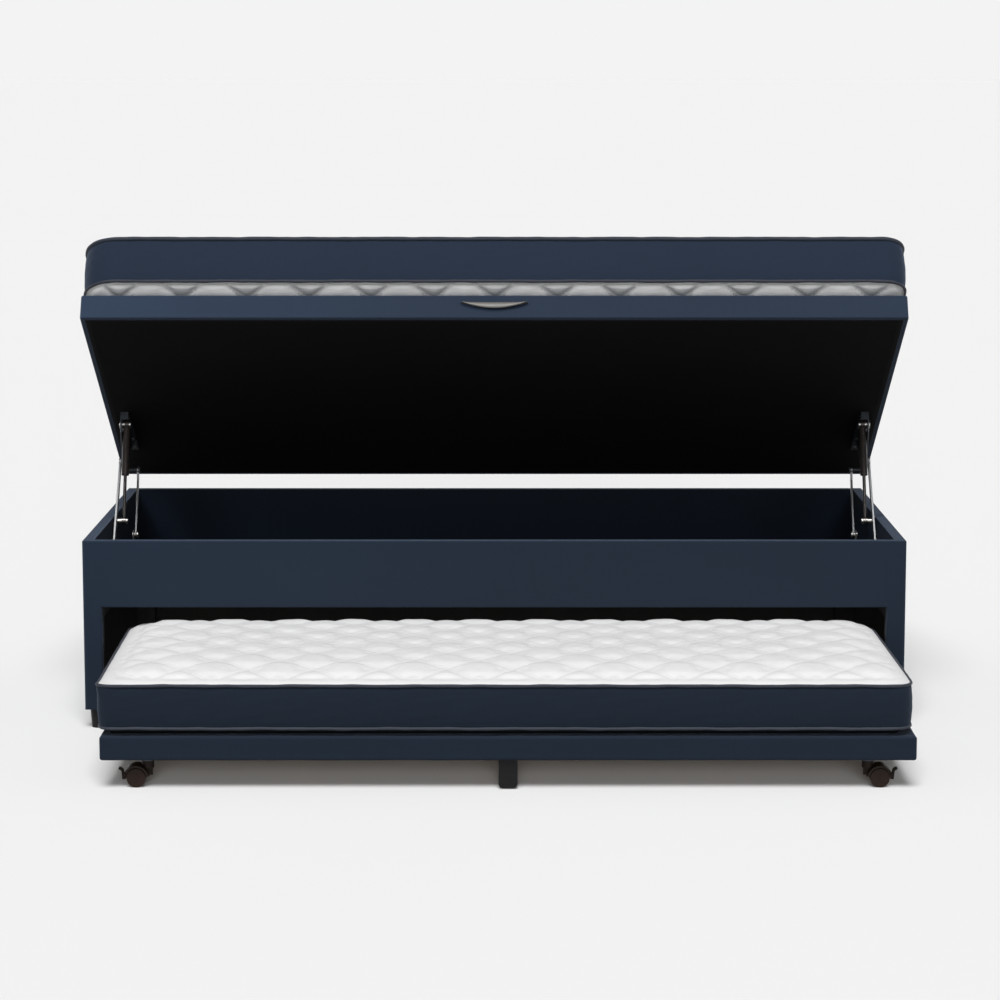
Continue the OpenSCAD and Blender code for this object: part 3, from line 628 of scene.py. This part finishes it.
def quilt(name, hx, hy, radii, px, py, x0, y0, N, edge_z, rise, taus, depth, wrap=0.0, drop=0.0, cloth=False, seam=0.038, in_seam=0.0, seam_d=0.003, seed=0.0):
    """A quilted panel over the rectangle +-hx, +-hy, its corners rounded to radii (left, right).
    It rises from edge_z by rise, over the lengths taus at the left, right, front and rear. Returns the subdivided grid as (verts, quads, outline)."""
    dx, dy = px / N, py / N

    def axis(h, o, st):
        k0, k1 = math.ceil((-h - o) / st + 0.45), math.floor((h - o) / st - 0.45)
        return ([(-h, None)] + [(o + k * st, k) for k in range(k0, k1 + 1)] + [(h, None)])

    ax, ay = axis(hx, x0, dx), axis(hy, y0, dy)
    nx, ny = len(ax), len(ay)
    x = np.array([a[0] for a in ax]); y = np.array([a[0] for a in ay])
    X, Y = np.meshgrid(x, y, indexing="ij")
    KX = np.array([a[1] if a[1] is not None else 10**6 for a in ax])
    KY = np.array([a[1] if a[1] is not None else 10**6 for a in ay])
    KI, KJ = np.meshgrid(KX, KY, indexing="ij")
    inner = (KI < 10**5) & (KJ < 10**5)
    st = inner & (((KI + KJ) % N == 0) | ((KI - KJ) % N == 0))
    edge = ~inner
    d = np.minimum(hx - np.abs(X), hy - np.abs(Y))
    # distance softened at the panel's diagonals
    ex, ey = hx - np.abs(X), hy - np.abs(Y)
    ds = -0.022 * np.log(np.exp(-ex / 0.022) + np.exp(-ey / 0.022) - np.exp(-(ex + ey) / 0.022))
    ds = np.clip(ds, 0, None)
    A, B = (X - x0) / px + (Y - y0) / py, (X - x0) / px - (Y - y0) / py
    puff = np.abs(np.sin(np.pi * A) * np.sin(np.pi * B)) ** (0.28 if wrap else 0.42)
    fade = np.clip((ds - in_seam) / 0.016, 0, 1)
    fade = fade * fade * (3 - 2 * fade)
    dep = depth * fade
    en = np.stack([(hx + X) / taus[0], (hx - X) / taus[1], (hy + Y) / taus[2], (hy - Y) / taus[3]])
    nn_ = -0.5 * np.log(np.exp(-en / 0.5).sum(0) + 1e-12)
    lo_ = -0.5 * np.log(np.exp(-np.minimum(en[0], en[1]) / 0.5) + np.exp(-np.minimum(en[2], en[3]) / 0.5))
    nn_ = np.clip(np.where(ds < 1e-6, 0, np.minimum(nn_, en.min(0))), 0, None)
    Z0 = edge_z + rise * (1 - np.exp(-nn_))
    if cloth:
        Z = Z0 - dep + dep * 0.45 * np.clip(puff, 0, 1)
        v = np.stack([X, Y, Z], -1).reshape(-1, 3)
        idx = np.arange(nx * ny).reshape(nx, ny)
        q = np.stack([idx[:-1, :-1], idx[1:, :-1], idx[1:, 1:], idx[:-1, 1:]], -1).reshape(-1, 4)
        tmp = make(name + "_sim", v, q, [])
        pins = idx[st | edge].ravel()
        co = simulate(tmp, pins, 5.0, 0.035)
        bpy.data.objects.remove(tmp)
        dz = co[:, 2].reshape(nx, ny) - (Z0 - dep)
        mv = co[:, :2].reshape(nx, ny, 2) - np.stack([X, Y], -1)
        mv = np.clip(mv, -0.004, 0.004)
        X2, Y2 = X + mv[..., 0], Y + mv[..., 1]
        print("cloth", name, "rise max %.4f mean %.4f" % (dz.max(), dz.mean()))
        top = np.percentile(dz[~(st | edge)], 98)
        hgt = np.clip(dz / max(top, 1e-4), 0, 1.15)
        full = 1 - (1 - np.clip(hgt, 0, 1)) ** 2.6 + 0.25 * (hgt - np.clip(hgt, 0, 1))
        Z = Z0 - dep + dep * full
    else:
        X2, Y2 = X.copy(), Y.copy()
        Z = Z0 - dep + dep * puff
    wr = wob(X * 2.2, Y * 2.2, seed)
    Z = Z + np.where(edge, 0, 0.0012 * wr * fade)
    if seam:
        Z = Z - seam_d * np.exp(-((ds - seam) / 0.0040) ** 2)
    # wrap: near the edge the cloth turns down, so flat distance becomes a drop
    if wrap > 0:
        ph = lambda t: np.radians(64) * np.exp(-(t / wrap))
        tt = np.linspace(0, 0.4, 2001)
        hor = np.concatenate([[0], np.cumsum(np.cos(ph((tt[1:] + tt[:-1]) / 2)) * np.diff(tt))])
        ver = np.concatenate([[0], np.cumsum(np.sin(ph((tt[1:] + tt[:-1]) / 2)) * np.diff(tt))])
        ver = ver / ver[-1] * drop
        short = tt[-1] - hor[-1]
        q = lambda e: np.interp(e, tt, hor)
        gx, gy = np.clip(hx - np.abs(X2), 0, None), np.clip(hy - np.abs(Y2), 0, None)
        spread = lambda g, h: np.where(g < 0.4, q(g) + short * np.clip(g / 0.4, 0, 1) ** 1.0, g)
        X2 = np.sign(X2) * (hx - spread(gx, hx))
        Y2 = np.sign(Y2) * (hy - spread(gy, hy))
        Z = Z + np.interp(ds, tt, ver)
    # rounded corners in plan
    for sx, r in ((-1, radii[0]), (1, radii[1])):
        for sy in (-1, 1):
            u = (sx * X2 - (hx - r)) / r
            w = (sy * Y2 - (hy - r)) / r
            m = (u > 0) & (w > 0)
            uu, ww = np.clip(u, 0, 1), np.clip(w, 0, 1)
            nu, nw = uu * np.sqrt(1 - ww * ww / 2), ww * np.sqrt(1 - uu * uu / 2)
            X2 = np.where(m, sx * (hx - r + r * nu), X2)
            Y2 = np.where(m, sy * (hy - r + r * nw), Y2)
    v = np.stack([X2, Y2, Z], -1).reshape(-1, 3)
    idx = np.arange(nx * ny).reshape(nx, ny)
    q = np.stack([idx[:-1, :-1], idx[1:, :-1], idx[1:, 1:], idx[:-1, 1:]], -1).reshape(-1, 4)
    tmp = make(name + "_fine", v, q, [])
    if not wrap:
        sb = tmp.modifiers.new("s", "SUBSURF")
        sb.levels = 1
        sb.render_levels = 1
        bake_mods(tmp)
    me = tmp.data
    co = np.empty(len(me.vertices) * 3)
    me.vertices.foreach_get("co", co)
    co = co.reshape(-1, 3)
    if not wrap:
        # each stitched line pulls the cloth down in a narrow groove
        a_, b_ = (co[:, 0] - x0) / px + (co[:, 1] - y0) / py, (co[:, 0] - x0) / px - (co[:, 1] - y0) / py
        ln = np.minimum(np.abs(a_ - np.round(a_)), np.abs(b_ - np.round(b_))) * 0.0972
        far = np.minimum(hx - np.abs(co[:, 0]), hy - np.abs(co[:, 1]))
        co[:, 2] -= 0.0013 * np.exp(-(ln / 0.0034) ** 2) * np.clip((far - in_seam) / 0.006, 0, 1)
    quads = np.array([list(p.vertices) for p in me.polygons])
    # ordered outline
    cnt = {}
    for a, b_ in np.concatenate([quads[:, [0, 1]], quads[:, [1, 2]], quads[:, [2, 3]], quads[:, [3, 0]]]):
        cnt[(a, b_)] = 1
    nxt = {a: b_ for (a, b_) in cnt if (b_, a) not in cnt}
    s0 = next(iter(nxt))
    loop = [s0]
    while nxt[loop[-1]] != s0:
        loop.append(nxt[loop[-1]])
    bpy.data.objects.remove(tmp)
    return co, quads, np.array(loop)


def outward(P):
    """Outward unit normals in plan of a closed loop running counter-clockwise."""
    t = np.roll(P, -1, 0) - np.roll(P, 1, 0)
    n = np.stack([t[:, 1], -t[:, 0]], -1)
    return n / np.linalg.norm(n, axis=1, keepdims=True)


def resample(P, step):
    Q = np.vstack([P, P[:1]])
    s = np.concatenate([[0], np.cumsum(np.linalg.norm(np.diff(Q, axis=0), axis=1))])
    n = int(round(s[-1] / step))
    t = np.linspace(0, s[-1], n, endpoint=False)
    return np.stack([np.interp(t, s, Q[:, k]) for k in range(Q.shape[1])], -1)


def piping(name, loop_xyz, rad, mat, matrix, seed):
    P = resample(loop_xyz, 0.009)
    for _ in range(3):
        P = (np.roll(P, 1, 0) + 2 * P + np.roll(P, -1, 0)) / 4
    n2 = outward(P[:, :2])
    t = np.roll(P, -1, 0) - np.roll(P, 1, 0)
    t /= np.linalg.norm(t, axis=1, keepdims=True)
    n3 = np.concatenate([n2, np.zeros((len(P), 1))], 1)
    up = np.cross(t, n3)
    up /= np.linalg.norm(up, axis=1, keepdims=True)
    K = 10
    arc = np.arange(len(P)) * 0.009
    r = rad * (1 + 0.05 * np.sin(arc * 61 + seed) + 0.04 * np.sin(arc * 143 + 2 * seed))
    v = []
    for k in range(K):
        a = 2 * math.pi * k / K
        v.append(P + (math.cos(a) * n3 + math.sin(a) * up) * r[:, None])
    v = np.stack(v, 1).reshape(-1, 3)
    f = []
    n = len(P)
    for i in range(n):
        for k in range(K):
            a, b_ = i * K + k, i * K + (k + 1) % K
            c, e = ((i + 1) % n) * K + (k + 1) % K, ((i + 1) % n) * K + k
            f.append((a, b_, c, e) if True else None)
    ob = make(name, v, f, [mat], matrix=matrix)
    bm = bmesh.new(); bm.from_mesh(ob.data)
    bmesh.ops.recalc_face_normals(bm, faces=bm.faces)
    bm.to_mesh(ob.data); bm.free()
    return ob


def mattress(name, top, bottom, band, mats, matrix, seed, ring=14, margin=0.025):
    """Joins a top panel, a bulging border and a bottom panel (or a plain underside) into one closed form.
    band = (z_top, z_bot, bulge)."""
    co, quads, loop = top
    z_t, z_b, bulge = band
    height = z_t - z_b
    verts = [co]
    faces = [tuple(q) for q in quads]
    mi = [0] * len(faces)
    P = co[loop][:, :2]
    nrm = outward(P)
    arc = np.concatenate([[0], np.cumsum(np.linalg.norm(np.diff(P, axis=0), axis=1))])
    n = len(loop)
    off0 = len(co)
    prev = [int(k) for k in loop]
    ts = sorted([0.0, 1.0] + [q for e in (0.0015, 0.0035, 0.006, 0.010) for q in (e / height, 1 - e / height)] + [k / ring for k in range(2, ring - 1)])
    if bottom is None:
        Pb, zb_loop = P, np.full(n, z_b)
    else:
        cb, qb, lb = bottom
        m_ = len(lb)
        # resample the bottom outline by the direction seen from the middle, then join it with triangles
        ang = lambda Q: np.arctan2(Q[:, 1], Q[:, 0])
        aa, order = ang(cb[lb][:, :2]), None
        order = np.argsort(aa)
        ta = ang(P)
        ext = np.concatenate([aa[order] - 2 * np.pi, aa[order], aa[order] + 2 * np.pi])
        pick = lambda col: np.interp(ta, ext, np.tile(cb[lb][order, col], 3))
        Pb = np.stack([pick(0), pick(1)], -1)
        zb_loop = pick(2)
    zt_loop = co[loop][:, 2]
    for t in ts[1:-1]:
        puffy = 0.6 * math.sin(math.pi * t) + 0.4 * math.sin(math.pi * t) ** 0.4
        wv = wob(P[:, 0] * 1.4 + t * 0.6, P[:, 1] * 1.4 - t * 0.5, seed)
        tuck = math.exp(-t * height / 0.006) + math.exp(-(1 - t) * height / 0.006)
        o = bulge * puffy * (1 + 0.22 * wv) - 0.0032 * tuck * min(1.0, 8 * t, 8 * (1 - t)) ** 0.5
        xy = P * (1 - t) + Pb * t + nrm * o[:, None]
        z = zt_loop * (1 - t) + zb_loop * t
        verts.append(np.concatenate([xy, z[:, None]], 1))
        cur = list(range(off0, off0 + n))
        off0 += n
        for k in range(n):
            k2 = (k + 1) % n
            faces.append((prev[k2], prev[k], cur[k], cur[k2])); mi.append(1)
        prev = cur
    if bottom is None:
        for inset, z in ((0.0, zb_loop), (0.010, zb_loop - 0.0035), (0.021, np.full(n, 0.1215)), (0.027, np.full(n, 0.1168)), (0.040, np.full(n, 0.1163))):
            xy = P - nrm * inset
            verts.append(np.concatenate([xy, np.asarray(z)[:, None]], 1))
            cur = list(range(off0, off0 + n))
            off0 += n
            for k in range(n):
                k2 = (k + 1) % n
                faces.append((prev[k2], prev[k], cur[k], cur[k2])); mi.append(2)
            prev = cur
        faces.append(tuple(prev)); mi.append(2)
    else:
        verts.append(cb)
        cur = [off0 + int(k) for k in lb]
        i0, j0 = int(np.argmin(ta)), int(np.argmin(aa))
        A1, A2 = np.unwrap(np.roll(ta, -i0)), np.unwrap(np.roll(aa, -j0))
        i = j = 0
        while i < n or j < m_:
            go = j >= m_ or (i < n and (A1[i + 1] if i + 1 < n else A1[0] + 2 * np.pi) <= (A2[j + 1] if j + 1 < m_ else A2[0] + 2 * np.pi))
            u, w = prev[(i0 + i) % n], cur[(j0 + j) % m_]
            if go:
                faces.append((prev[(i0 + i + 1) % n], u, w)); i += 1
            else:
                faces.append((u, w, cur[(j0 + j + 1) % m_])); j += 1
            mi.append(1)
        for q in qb:
            faces.append(tuple(off0 + int(k) for k in q[::-1])); mi.append(2)
        off0 += len(cb)
    every = np.concatenate(verts)
    ob = make(name, every, faces, mats, mi, matrix=matrix)
    bm = bmesh.new(); bm.from_mesh(ob.data)
    bmesh.ops.recalc_face_normals(bm, faces=bm.faces)
    bm.to_mesh(ob.data); bm.free()
    wx, wy = np.abs(P[:, 0]).max(), np.abs(P[:, 1]).max()
    q = np.clip((np.minimum(wx - np.abs(every[:, 0]), wy - np.abs(every[:, 1])) - margin) / 0.004, 0, 1)
    at = ob.data.attributes.new("inset", "FLOAT", "POINT")
    at.data.foreach_set("value", np.minimum(wx - np.abs(every[:, 0]), wy - np.abs(every[:, 1])).astype(np.float32))
    at = ob.data.attributes.new("quilted", "FLOAT", "POINT")
    at.data.foreach_set("value", q.astype(np.float32))
    return ob


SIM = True
# lower mattress, in the trundle's frame
hx, hy = 0.8545, 0.3365
low_top = quilt("low_top", hx, hy, (0.026, 0.036), PX, PY, QX - TRX, QY - TRY - Y0, 14,
                0.2240, 0.0345, (0.040, 0.040, 0.070, 0.033), 0.0080, cloth=SIM, seam=0.027, in_seam=0.021, seed=1)
low = mattress("trundle_mattress_soft", low_top, None, (0.2245, 0.132, 0.0035), [tick_low, border_low, under_m], TRUNDLE, 2.0)
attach(low, "trundle")
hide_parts("trundle_mattress")
def askew(ob):
    for v in ob.data.vertices:
        y = (v.co.y - (TRY + Y0)) / 0.3365
        g_ = math.exp(-((v.co.x - TRX + 0.8545) ** 2 + (v.co.y - TRY - Y0 + 0.3365) ** 2) / 0.030 ** 2)
        k_ = min(1.0, max(0.0, (v.co.z - 0.195) / 0.025))
        v.co.x -= 0.0060 + 0.0045 * (y + 1) + 0.0065 * g_ * k_
        v.co.y -= 0.0030 * g_ * k_
    ob.data.update()


askew(low)
co, _, lp = low_top
P = co[lp][:, :2]
nn = outward(P)
for nm, z, sd in (("trundle_piping_top", 0.2235, 1.0), ("trundle_piping_bottom", 0.1320, 2.0)):
    arcw = wob(P[:, 0] * 2.0, P[:, 1] * 2.0, sd)
    pts = np.concatenate([P + nn * 0.0010, (z + 0.0012 * arcw)[:, None]], 1)
    pp = piping(nm, pts, 0.0033, pipe_low, TRUNDLE, sd)
    askew(pp)
    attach(pp, "trundle")
    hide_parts("trundle_mattress")

# upper mattress, in the lid's frame, centred on the lid
UPPER = LID @ Matrix.Translation((0, -0.440, 0))
hx, hy = 0.9425, 0.4325
up_top = quilt("up_top", hx, hy, (0.078, 0.050), UX, UY, 0.0017, 0.0215, 12,
               0.2060, 0.0205, (0.060, 0.060, 0.076, 0.050), 0.0085, cloth=SIM, seam=0.027, in_seam=0.021, seed=2)
up_bot = quilt("up_bot", hx, hy, (0.078, 0.050), UX, UY, 0.0017, 0.0215, 22,
               0.0, 0.0, (0.05, 0.05, 0.05, 0.05), 0.0120, cloth=False, seam=0.010, in_seam=0.006, seam_d=0.0040, wrap=0.036, drop=0.0370, seed=5)
cb, qb, lb = up_bot
cb = cb.copy()
cb[:, 2] = np.maximum(0.0970 - cb[:, 2], LT + 0.0003)
up = mattress("upper_mattress_soft", up_top, (cb, qb, lb), (0.2060, 0.0970, 0.0035), [tick_up, border_up, tick_in], UPPER, 3.0)
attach(up, "lid")
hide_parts("top_mattress")
co, _, lp = up_top
P = co[lp][:, :2]
nn = outward(P)
for nm, z, sd in (("upper_piping_top", 0.2060, 3.0), ("upper_piping_bottom", 0.0970, 4.0)):
    arcw = wob(P[:, 0] * 2.0, P[:, 1] * 2.0, sd)
    pts = np.concatenate([P + nn * 0.0010, (z + 0.0010 * arcw)[:, None]], 1)
    pp = piping(nm, pts, 0.0048 if "top" in nm else 0.0036, pipe_top if "top" in nm else pipe_up, UPPER, sd)
    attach(pp, "lid")
    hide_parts("top_mattress")


# ---- pull handle
def handle():
    n = 72
    prof = [(0.00, 0.00), (0.02, 0.0060), (0.08, 0.0080), (0.25, 0.0096), (0.50, 0.0106), (0.72, 0.0109), (0.88, 0.0106),
            (0.97, 0.0096), (1.00, 0.0082), (0.97, 0.0070), (0.90, 0.0064), (0.78, 0.0058), (0.70, 0.0030), (0.66, 0.0000)]
    v, f = [], []
    K = len(prof)
    for i in range(n + 1):
        u = -1 + 2 * i / n
        s = 1 - u * u
        h = 0.0165 * max(s, 0.0) + 0.0003
        e = min(1.0, (s / 0.12) ** 0.5) if s > 0 else 0.0
        for (t, dd) in prof:
            v.append((0.077 * u, -W - dd * (0.10 + 0.90 * e) if dd > 0 else -W + 0.0004, 0.0378 - t * h))
    for i in range(n):
        for k in range(K):
            a, b_ = i * K + k, i * K + (k + 1) % K
            f.append((a, b_, b_ + K, a + K))
    f.append(tuple(range(K)))
    f.append(tuple(n * K + k for k in reversed(range(K))))
    ob = make("pull_handle_grip", v, f, [handle_m], matrix=LID)
    bm = bmesh.new(); bm.from_mesh(ob.data)
    bmesh.ops.recalc_face_normals(bm, faces=bm.faces)
    bm.to_mesh(ob.data); bm.free()
    sb = ob.modifiers.new("s", "SUBSURF")
    sb.levels = 1
    sb.render_levels = 1
    bake_mods(ob)
    return ob


hd = handle()
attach(hd, "lid")
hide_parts("pull_handle")

# --------------------------------------------------------------- the stage
fl, nt, b = start("floor")
n_ = noise(nt, stretch(nt, coords(nt), (0.6, 0.6, 0.6)), 1.0, 2.0)
c_ = ramp(nt, n_, [(0.0, (0.748, 0.748, 0.748)), (1.0, (0.756, 0.756, 0.756))])
nt.links.new(c_, b.inputs["Base Color"])
b.inputs["Roughness"].default_value = 1.0
b.inputs["Specular IOR Level"].default_value = 0.0
S = 400.0
floor = make("floor", [(-S, -S, 0), (S, -S, 0), (S, S, 0), (-S, S, 0)], [(0, 1, 2, 3)], [fl], smooth=False)
floor.visible_diffuse = False

wd = bpy.data.worlds.new("studio")
scene.world = wd
wd.use_nodes = True
nt = wd.node_tree
nt.nodes.clear()
wo = nt.nodes.new("ShaderNodeOutputWorld")
bg = nt.nodes.new("ShaderNodeBackground")
tc = nt.nodes.new("ShaderNodeTexCoord")
sp = nt.nodes.new("ShaderNodeSeparateXYZ")
nt.links.new(tc.outputs["Generated"], sp.inputs[0])
g = ramp(nt, math2(nt, "MULTIPLY_ADD", sp.outputs[2], 0.5, 0.5),
         [(0.0, (0.05,) * 3), (0.42, (0.07,) * 3), (0.485, (0.896,) * 3), (0.52, (0.896,) * 3), (0.56, (0.17,) * 3), (1.0, (0.22,) * 3)])
nt.links.new(g, bg.inputs["Color"])
nt.links.new(bg.outputs[0], wo.inputs[0])


def sun(name, az, el, k, soft, receivers=None):
    d = bpy.data.lights.new(name, "SUN")
    d.energy = k * math.pi
    d.angle = math.radians(soft)
    o = bpy.data.objects.new(name, d)
    a, e = math.radians(az), math.radians(el)
    toward = Vector((math.sin(a) * math.cos(e), -math.cos(a) * math.cos(e), math.sin(e)))
    o.rotation_euler = toward.to_track_quat("Z", "Y").to_euler()
    scene.collection.objects.link(o)
    if receivers:
        o.light_linking.receiver_collection = receivers


sun("key", -2, 58, 1.00, 28)
sun("front", 2, 12, 0.20, 30)

no_floor = bpy.data.collections.new("side_fill_receivers")
for ob in [floor, low, up, base] + [o for o in bpy.data.objects if "_piping_" in o.name]:
    no_floor.objects.link(ob)
for co_ in no_floor.collection_objects:
    co_.light_linking.link_state = "EXCLUDE"
just_floor = bpy.data.collections.new("floor_light_receivers")
just_floor.objects.link(floor)
sun("floor_front", 0, 12, 0.45, 20, just_floor)


def fill(name, loc, power, size):
    """A soft box near one end; the floor isn't lit by it."""
    d = bpy.data.lights.new(name, "AREA")
    d.shape = "SQUARE"
    d.size = size
    d.energy = power
    o = bpy.data.objects.new(name, d)
    o.location = loc
    o.rotation_euler = (Vector((loc[0] * 0.45, 0.0, 0.95)) - Vector(loc)).to_track_quat("-Z", "Y").to_euler()
    o.visible_camera = False
    o.visible_glossy = False
    scene.collection.objects.link(o)
    o.light_linking.receiver_collection = no_floor


fill("fill_left", (-1.55, -1.15, 1.75), 46.0, 0.6)
fill("fill_right", (1.6, -1.15, 1.75), 22.0, 0.6)

cam = bpy.data.cameras.new("camera")
cam.lens = 108.98
cam.sensor_width = 36.0
co_ = bpy.data.objects.new("camera", cam)
co_.location = (0.013, -6.8117 + Y0, 1.503)
co_.rotation_euler = (math.pi / 2 - 0.1417, 0, 0)
cam.clip_end = 1200
scene.collection.objects.link(co_)
scene.camera = co_
scene.view_settings.view_transform = "Standard"
